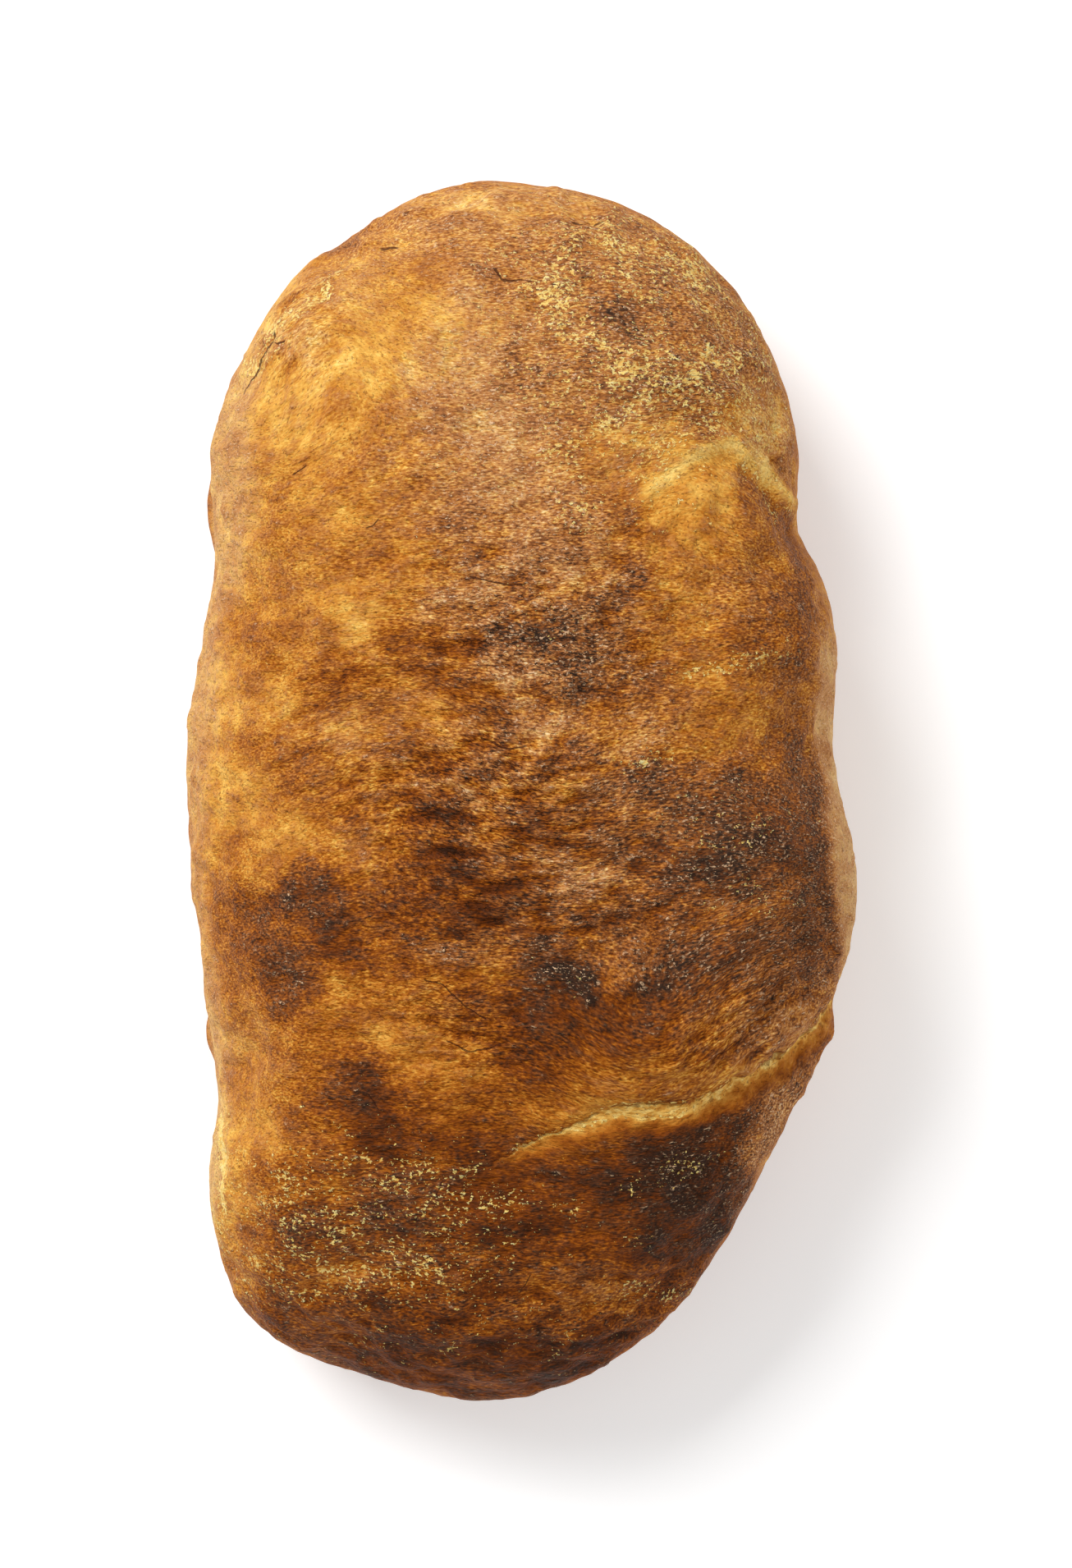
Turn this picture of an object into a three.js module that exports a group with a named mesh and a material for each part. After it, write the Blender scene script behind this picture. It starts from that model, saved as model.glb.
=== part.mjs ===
// A long hearth-baked sourdough loaf, baked as one piece and so modelled as one solid.
// Millimetres, +Z up. The loaf lies on its flat base with its length along Y.
// The origin is at the middle of the base, on the surface that the loaf lies on.
//
// The form starts as a box grid blown up into a superellipsoid whose plan follows a hand-set outline.
// The hearth flattens its underside, and folds, hollows and swellings are then pressed into the crown.

import * as THREE from "three";
import { mergeVertices } from "three/addons/utils/BufferGeometryUtils.js";

// Driving dimensions.
const LENGTH = 330;
const WIDTH = 182;
const HEIGHT = 96;

// Height of the widest contour: the right flank is full and steep, the left flank leans out lower down.
const RIM_HEIGHT_RIGHT = 40;
const RIM_HEIGHT_LEFT = 27;

// Superellipse powers of the section. A higher power gives a squarer shoulder.
const CROWN_POWER_RIGHT = 2.45;
const CROWN_POWER_LEFT = 2.3;
const CROWN_POWER_ENDS = 2.15;
const BELLY_POWER = 2.3;

// How far the belly would hang below the hearth if nothing flattened it, and the softness of that edge.
const BELLY_SINK = 19;
const FOOT_SOFTNESS = 4;

// Grid cells across, along and up. Each cell is two triangles.
const CELLS = { across: 25, along: 45, up: 13 };

// Points that the outline is read at, all the way round.
const OUTLINE_SAMPLES = 1440;

// The foot's outline is evened out over this much bearing on each side, in this many steps.
const FOOT_EVENING = { reach: 0.3, steps: 6 };

// Upward lean of the skin below which there is no relief, and above which there is all of it.
const CROWN_LEAN = { none: 0.05, full: 0.6 };

// The outline seen from above, anticlockwise from the right-hand side.
const OUTLINE = [
  [84, 12], [85, 26], [85.5, 40], [82, 56], [77, 65], [74, 71], [75, 79], [75, 92], [72.5, 105],
  [67.5, 119], [60, 132], [50, 144], [37, 154], [21, 161], [2, 164.5], [-14, 164.5], [-30, 160],
  [-42, 152.5], [-50, 147.5], [-59, 141.5], [-67, 132], [-75, 118], [-82, 102], [-85, 91],
  [-84.5, 74], [-83, 58], [-86.5, 38], [-90, 16], [-91, -2], [-90.5, -18], [-87.5, -36],
  [-85.5, -55], [-84, -71], [-81.5, -82], [-84, -97], [-84.5, -112], [-81, -128], [-74, -141.5],
  [-62, -151.5], [-48, -156], [-38, -159.5], [-24, -163.5], [-8, -165], [9, -162], [25, -154.5],
  [41, -141], [54, -123], [64, -105], [72, -89], [79, -75], [84, -64], [85, -55.5], [89, -41],
  [91, -26], [89.5, -14], [85.5, 1],
];

// Folds and hollows: a path over the crown, its depth at each end, and its half-width on the right-hand side
// and the left-hand side of someone walking along the path.
const GROOVES = [
  {
    name: "lower fold",
    path: [
      [89, -54], [83, -62], [75, -70], [60, -79], [48, -85], [36, -89.5], [24, -92.5], [12, -96], [-8, -103],
    ],
    depth: [7, 1],
    halfWidth: { left: 12, right: 7 },
  },
  {
    name: "upper fold",
    path: [[80, 66], [73, 74], [65, 83], [57, 90], [48, 91], [38, 85], [28, 78]],
    depth: [6, 0.5],
    halfWidth: { left: 9, right: 12 },
  },
  {
    name: "right dip",
    path: [[90, 11], [70, 13], [50, 20], [34, 28]],
    depth: [4, 0.3],
    halfWidth: { left: 14, right: 12 },
  },
  {
    name: "left waist",
    path: [[-88, -80], [-74, -82], [-60, -87]],
    depth: [5, 0.5],
    halfWidth: { left: 11, right: 12 },
  },
  {
    name: "left upper dip",
    path: [[-90, 60], [-78, 60], [-66, 63]],
    depth: [3, 0.3],
    halfWidth: { left: 14, right: 14 },
  },
  {
    name: "low hollow",
    path: [[-42, -66], [-41, -84], [-39, -104]],
    depth: [2.4, 2.4],
    halfWidth: { left: 9, right: 10 },
  },
  {
    name: "top dent",
    path: [[-52, 150], [-44, 141], [-34, 134]],
    depth: [2.5, 0.3],
    halfWidth: { left: 9, right: 9 },
  },
  {
    name: "end dent",
    path: [[-45, -160], [-40, -148], [-34, -138]],
    depth: [3, 0.3],
    halfWidth: { left: 9, right: 9 },
  },
];

// Broad swellings of the crown: centre, half-widths across and along, and rise.
const SWELLINGS = [
  { name: "top end", centre: [4, 128], reach: [44, 26], rise: 3 },
  { name: "top right lobe", centre: [44, 112], reach: [26, 24], rise: 3.5 },
  { name: "top left shoulder", centre: [-46, 96], reach: [22, 40], rise: 2.5 },
  { name: "middle right lobe", centre: [62, 42], reach: [17, 25], rise: 4.5 },
  { name: "lower right shoulder", centre: [62, -28], reach: [20, 26], rise: 6 },
  { name: "shoulder over the fold", centre: [36, -66], reach: [30, 13], rise: 3 },
  { name: "lower right lobe", centre: [44, -106], reach: [26, 14], rise: 4 },
  { name: "lower end", centre: [-12, -132], reach: [40, 18], rise: 3 },
  { name: "lower left lobe", centre: [-58, -110], reach: [18, 20], rise: 4 },
  { name: "left shoulder", centre: [-58, 10], reach: [18, 48], rise: 2.5 },
  { name: "left lower shoulder", centre: [-62, -44], reach: [16, 24], rise: 3 },
  { name: "spine", centre: [4, 14], reach: [26, 70], rise: 2 },
];

const half = { x: WIDTH / 2, y: LENGTH / 2 };
const outlineRadius = makeOutlineRadius(OUTLINE_SAMPLES);

// The outline as a radius about the middle for each bearing, where the plain ellipse has radius 1.
function makeOutlineRadius(samples) {
  const corners = OUTLINE.map(([x, y]) => new THREE.Vector3(x, y, 0));
  const curve = new THREE.CatmullRomCurve3(corners, true, "centripetal");
  const ring = curve
    .getPoints(samples)
    .slice(0, samples)
    .map((p) => ({ x: p.x / half.x, y: p.y / half.y }))
    .map(({ x, y }) => ({ bearing: Math.atan2(y, x), radius: Math.hypot(x, y) }))
    .sort((a, b) => a.bearing - b.bearing);
  const turn = 2 * Math.PI;
  const wrapped = [
    { ...ring.at(-1), bearing: ring.at(-1).bearing - turn },
    ...ring,
    { ...ring[0], bearing: ring[0].bearing + turn },
  ];
  return (bearing) => {
    const above = wrapped.findIndex((p) => p.bearing >= bearing);
    const [a, b] = [wrapped[Math.max(above - 1, 0)], wrapped[Math.max(above, 1)]];
    const share = (bearing - a.bearing) / Math.max(b.bearing - a.bearing, 1e-9);
    return a.radius + (b.radius - a.radius) * THREE.MathUtils.clamp(share, 0, 1);
  };
}

// The outline with its notches evened out, for the foot of the loaf, where the dough has settled.
function evenRadius(bearing) {
  const { reach, steps } = FOOT_EVENING;
  let sum = 0;
  for (let i = -steps; i <= steps; i += 1) {
    const at = bearing + (reach * i) / steps;
    sum += outlineRadius(Math.atan2(Math.sin(at), Math.cos(at)));
  }
  return sum / (2 * steps + 1);
}

// Zero below -softness, unchanged above it, and a smooth bend between.
function flattenedOnHearth(z) {
  if (z <= -FOOT_SOFTNESS) return 0;
  if (z >= FOOT_SOFTNESS) return z;
  return (z + FOOT_SOFTNESS) ** 2 / (4 * FOOT_SOFTNESS);
}

// A point of the plain form for a direction from its middle.
function plainPoint(direction) {
  const bearing = Math.atan2(direction.y, direction.x);
  const level = Math.hypot(direction.x, direction.y);
  const leftness = 0.5 - 0.5 * Math.cos(bearing);
  const rimHeight = THREE.MathUtils.lerp(RIM_HEIGHT_RIGHT, RIM_HEIGHT_LEFT, leftness);
  const sidePower = THREE.MathUtils.lerp(CROWN_POWER_RIGHT, CROWN_POWER_LEFT, leftness);
  const crownPower = THREE.MathUtils.lerp(sidePower, CROWN_POWER_ENDS, Math.sin(bearing) ** 2);
  const onCrown = direction.z >= 0;
  const power = onCrown ? crownPower : BELLY_POWER;
  const steepness = Math.abs(direction.z) ** (2 / power);
  const radius = onCrown
    ? outlineRadius(bearing)
    : THREE.MathUtils.lerp(outlineRadius(bearing), evenRadius(bearing), steepness);
  const reach = radius * level ** (2 / power);
  const z = onCrown
    ? rimHeight + (HEIGHT - rimHeight) * steepness
    : rimHeight - (rimHeight + BELLY_SINK) * steepness;
  return new THREE.Vector3(
    half.x * reach * Math.cos(bearing),
    half.y * reach * Math.sin(bearing),
    flattenedOnHearth(z),
  );
}

// The nearest place on a path: how far away it is, on which side, and how far along.
function placeOnPath(path, x, y) {
  let best = { distance: Infinity, side: 1, along: 0 };
  for (let i = 0; i + 1 < path.length; i += 1) {
    const [ax, ay] = path[i];
    const [bx, by] = path[i + 1];
    const [dx, dy] = [bx - ax, by - ay];
    const share = THREE.MathUtils.clamp(((x - ax) * dx + (y - ay) * dy) / (dx * dx + dy * dy), 0, 1);
    const distance = Math.hypot(x - ax - dx * share, y - ay - dy * share);
    if (distance < best.distance) {
      const side = Math.sign(dx * (y - ay) - dy * (x - ax)) || 1;
      best = { distance, side, along: (i + share) / (path.length - 1) };
    }
  }
  return best;
}

// How far the crown stands proud of the plain form, or below it, over a point of the plan.
function relief(x, y) {
  let rise = 0;
  for (const { centre, reach, rise: most } of SWELLINGS) {
    const away = ((x - centre[0]) / reach[0]) ** 2 + ((y - centre[1]) / reach[1]) ** 2;
    rise += most * Math.exp(-away);
  }
  for (const { path, depth, halfWidth } of GROOVES) {
    const { distance, side, along } = placeOnPath(path, x, y);
    const width = side > 0 ? halfWidth.left : halfWidth.right;
    rise -= THREE.MathUtils.lerp(depth[0], depth[1], along) * Math.exp(-((distance / width) ** 2));
  }
  return rise;
}

// A box grid, its points spread evenly over a sphere and carried to the plain form.
function plainForm() {
  const { across, along, up } = CELLS;
  const box = new THREE.BoxGeometry(2, 2, 2, across, along, up);
  box.deleteAttribute("normal");
  box.deleteAttribute("uv");
  const form = mergeVertices(box, 1e-4);
  const position = form.getAttribute("position");
  const direction = new THREE.Vector3();
  for (let i = 0; i < position.count; i += 1) {
    direction.fromBufferAttribute(position, i);
    for (const axis of ["x", "y", "z"]) direction[axis] = Math.tan((direction[axis] * Math.PI) / 4);
    const point = plainPoint(direction.normalize());
    position.setXYZ(i, point.x, point.y, point.z);
  }
  return form;
}

// Moved and stretched by a hair, so that its box is the driving dimensions with the origin under its middle.
function fittedToSize(form) {
  form.computeBoundingBox();
  const size = form.boundingBox.getSize(new THREE.Vector3());
  const centre = form.boundingBox.getCenter(new THREE.Vector3());
  form.translate(-centre.x, -centre.y, -form.boundingBox.min.z);
  form.scale(WIDTH / size.x, LENGTH / size.y, HEIGHT / size.z);
  return form;
}

// The plain form with its relief, which fades out towards the rim so that the outline stays true.
function loafGeometry() {
  const form = plainForm();
  form.computeVertexNormals();
  const position = form.getAttribute("position");
  const normal = form.getAttribute("normal");
  const point = new THREE.Vector3();
  const outward = new THREE.Vector3();
  for (let i = 0; i < position.count; i += 1) {
    point.fromBufferAttribute(position, i);
    outward.fromBufferAttribute(normal, i);
    const onCrown = THREE.MathUtils.smoothstep(outward.z, CROWN_LEAN.none, CROWN_LEAN.full);
    point.addScaledVector(outward, relief(point.x, point.y) * onCrown);
    position.setXYZ(i, point.x, point.y, Math.max(point.z, 0));
  }
  form.deleteAttribute("normal");
  fittedToSize(form).computeVertexNormals();
  return form;
}

const crust = new THREE.MeshStandardMaterial({
  name: "baked_crust",
  color: 0xb0702c,
  roughness: 0.62,
  metalness: 0,
});
const loaf = new THREE.Mesh(loafGeometry(), crust);
loaf.name = "loaf";

const sourdoughLoaf = new THREE.Group();
sourdoughLoaf.name = "sourdough_loaf";
sourdoughLoaf.add(loaf);

export default sourdoughLoaf;
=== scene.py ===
# A long sourdough loaf on a pale floor, seen from straight above.
#
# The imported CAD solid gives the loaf's form. A much finer skin is cast onto that form, and the folds,
# blisters, wrinkles, cracks and pits of the crust are pressed into the skin. How far each place is baked,
# bloomed, floured or creased is painted onto the skin as attributes, which the crust's material turns into
# colour and grain.
#
# Places on the loaf are millimetres in its own frame: +X to the right, +Y along it, +Z up from its base.
# Places in plan are given as the camera above sees them against the level of the loaf's widest contour.

import math

import bmesh
import bpy
import numpy as np
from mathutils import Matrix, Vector, noise
from mathutils.bvhtree import BVHTree


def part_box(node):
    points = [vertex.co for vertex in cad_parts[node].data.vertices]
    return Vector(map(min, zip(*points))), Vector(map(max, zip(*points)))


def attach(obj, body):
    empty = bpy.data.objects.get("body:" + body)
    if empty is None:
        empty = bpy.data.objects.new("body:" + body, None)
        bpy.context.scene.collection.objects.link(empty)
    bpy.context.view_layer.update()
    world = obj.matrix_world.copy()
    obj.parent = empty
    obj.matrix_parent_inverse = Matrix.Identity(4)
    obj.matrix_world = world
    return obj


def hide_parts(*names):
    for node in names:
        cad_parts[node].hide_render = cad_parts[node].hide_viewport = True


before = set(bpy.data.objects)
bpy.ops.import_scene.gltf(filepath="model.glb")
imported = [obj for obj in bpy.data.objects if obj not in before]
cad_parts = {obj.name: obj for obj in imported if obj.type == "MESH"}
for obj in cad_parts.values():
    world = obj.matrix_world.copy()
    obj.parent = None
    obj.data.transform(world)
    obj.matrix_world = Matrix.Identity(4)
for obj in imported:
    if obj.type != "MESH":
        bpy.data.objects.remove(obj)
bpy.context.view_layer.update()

MM = 0.001

# Half the loaf's width and length.
HALF_WIDTH = 91.0
HALF_LENGTH = 165.0

# The skin is a box grid blown up onto the form: cells across, along and up.
CELLS = np.array([116, 210, 66])
CAST_HEIGHT = 0.42  # share of the loaf's height that the rays leave from

# ---------------------------------------------------------------- the crust's shape

# The fold where the upper body rolls over the lower right lobe, from the right-hand edge inwards.
LOWER_FOLD = [
    (87.5, -47.7), (83.6, -55.6), (79.7, -61.5), (75.7, -66), (71.7, -70), (67.8, -73), (63.8, -75.6),
    (59, -78.2), (54, -81.2), (50, -82.8), (46, -84.1), (40, -84.6), (34, -84.8), (28, -85.1), (22, -86.9),
    (16, -89.3), (10, -91.8), (4, -94.8), (-2, -97.8), (-8, -101.2),
]
# The stretched strip of young crust inside that fold: its width at places along the fold, both in mm.
STRIP_WIDTHS = [(0, 0.8), (25, 1.4), (48, 2.1), (58, 3.5), (70, 4.6), (80, 3.6), (92, 1.9), (105, 0.7)]
# The arch between the upper and the middle right lobes.
UPPER_FOLD = [(79, 64), (74, 71), (69, 79), (63, 87), (56, 92), (49, 90), (40, 82), (32, 77)]
# Each fold's path, its lip's height, its valley's depth, and how far the lip slides over the valley.
FOLDS = [(LOWER_FOLD, 1.3, 1.4, 0.7), (UPPER_FOLD, 1.5, 1.0, 0.0)]
# The crest of the middle right lobe.
CREST = [(60, 84), (66, 79), (72, 71), (75, 62), (77, 50), (77, 36), (74, 24), (73, 14)]

# Where the pale flanks begin, from the top of the loaf downwards.
LEFT_RIM = [
    (-64, 130), (-70, 118), (-72.5, 105), (-73, 90), (-73.5, 75), (-75, 60), (-79, 45), (-82, 25), (-84, 0),
    (-85, -20), (-84, -40), (-81, -55), (-79, -70), (-78.5, -90), (-80, -106), (-81.5, -124),
]
RIGHT_RIM = [(81, 46), (79.5, 30), (79.5, 15), (80.5, 0), (82.5, -12), (84, -24), (85.5, -36), (84.5, -54)]

# How sharply patches laid on the skin end: 1 is the softest.
PATCH_EDGE = 1.3
# How places stray from the plan, so that what is laid there has ragged edges. Each is a noise: its height,
# its size in mm along each axis, its octaves, and where in the noise it starts.
WANDER = [(1.0, (16, 12, 12), 4, 21.0), (1.0, (16, 12, 12), 4, 47.0)]
# The crust's relief, as noises of the same kind, with their heights in mm.
LUMPS = [(1.2, (34, 30, 34), 1, 3.1), (1.6, (15, 11, 13), 2, 7.7)]
BLISTERS = (0.85, (6.5, 4.2, 5), 2, 1.9)
GRIT = (0.34, (3.4, 2.4, 2.6), 1, 4.3)
# The wrinkles' ridges lie where this noise is near 0, and the creases where it's far from it.
WRINKLES = (3.2, (12, 3.6, 7), 2, 9.2)
RIDGE_LIMIT = 1.3
RIDGE_HEIGHT = 1.05

# Where the drawn-out skin's grain doesn't run along X: centre, half-sizes, turn in degrees.
DRAWN = [(58, -64, 40, 26, 32), (60, 84, 22, 20, -24), (-68, 122, 26, 30, 40), (-12, 4, 34, 30, -14)]

# Where the skin is wrinkled: centre, half-sizes, turn, strength.
WRINKLED = [
    (4, 44, 34, 26, 0, 1.0), (-4, -2, 40, 26, -12, 1.0), (4, -30, 44, 16, 6, 0.8),
    (-44, 22, 26, 26, -20, 0.4), (-18, -62, 26, 12, -20, 0.6), (0, -140, 60, 16, 0, 0.5),
    (60, -64, 30, 14, 32, 0.5), (64, 92, 12, 14, -48, 0.4), (-64, 126, 12, 20, 48, 0.5),
]

# Cracks: half-width in mm, then the line that the crack follows. The depth is in half-widths.
CRACK_DEPTH = 1.4
CRACKS = [
    (0.34, [(-7.5, 141.5), (-4.5, 138), (1, 138.5)]),
    (0.34, [(14, 154.5), (19, 154), (23, 154.5)]),
    (0.26, [(-38, 146), (-33, 147.5)]),
    (0.20, [(-63, 85.5), (-60.5, 87), (-58.5, 88.5)]),
    (0.18, [(-42, 71), (-40, 71.5), (-38, 73.5)]),
    (0.20, [(-26, -51), (-21, -52.5), (-15, -58), (-9, -62)]),
    (0.24, [(-20, -67.5), (-14, -70.5), (-8, -70), (-4, -68)]),
    (0.18, [(3, -131), (0, -137)]),
    (0.18, [(-41, -82), (-38, -87)]),
    (0.18, [(-21, -106), (-23, -110)]),
    (0.26, [(-11, 14.5), (-4, 11), (2, 12)]),
    (0.24, [(-14, 58), (-4, 55.5), (2, 56)]),
    (0.24, [(-76.5, 107.5), (-72.5, 113), (-69.5, 117.5), (-67.5, 121), (-66, 124.5)]),
    (0.18, [(-67.5, 121.5), (-64.5, 120), (-62.5, 121.5)]),
]

# Pits: where, radius. The depth is in radii.
PIT_DEPTH = 1.6
PITS = [
    (59, -77.6, 1.2), (69.5, -71.2, 0.8), (47, -83.6, 0.6), (45, -83.8, 0.5), (50.5, -81.8, 0.45),
    (-17, 159, 0.5), (-3, 160, 0.5), (34, 137, 0.5), (-75, 71, 0.4), (-86, -7, 0.6), (19.5, 154, 0.6),
    (64, 58, 0.5), (-6, -78, 0.4), (-22, 122, 0.35), (41, 12, 0.35), (-43, 101, 0.35), (22, 68, 0.4),
]

# Tabs of the foot that stand out from under the left flank: where along Y, half-length, how far. The flank
# above them is notched.
FOOT_TABS = [(77, 15, 3.4), (-11, 10, 2.4), (-67, 8, 3.0)]
FOOT_TOP = 17.0
TAB_NOTCH = 1.2

# ---------------------------------------------------------------- the crust's paint

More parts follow.
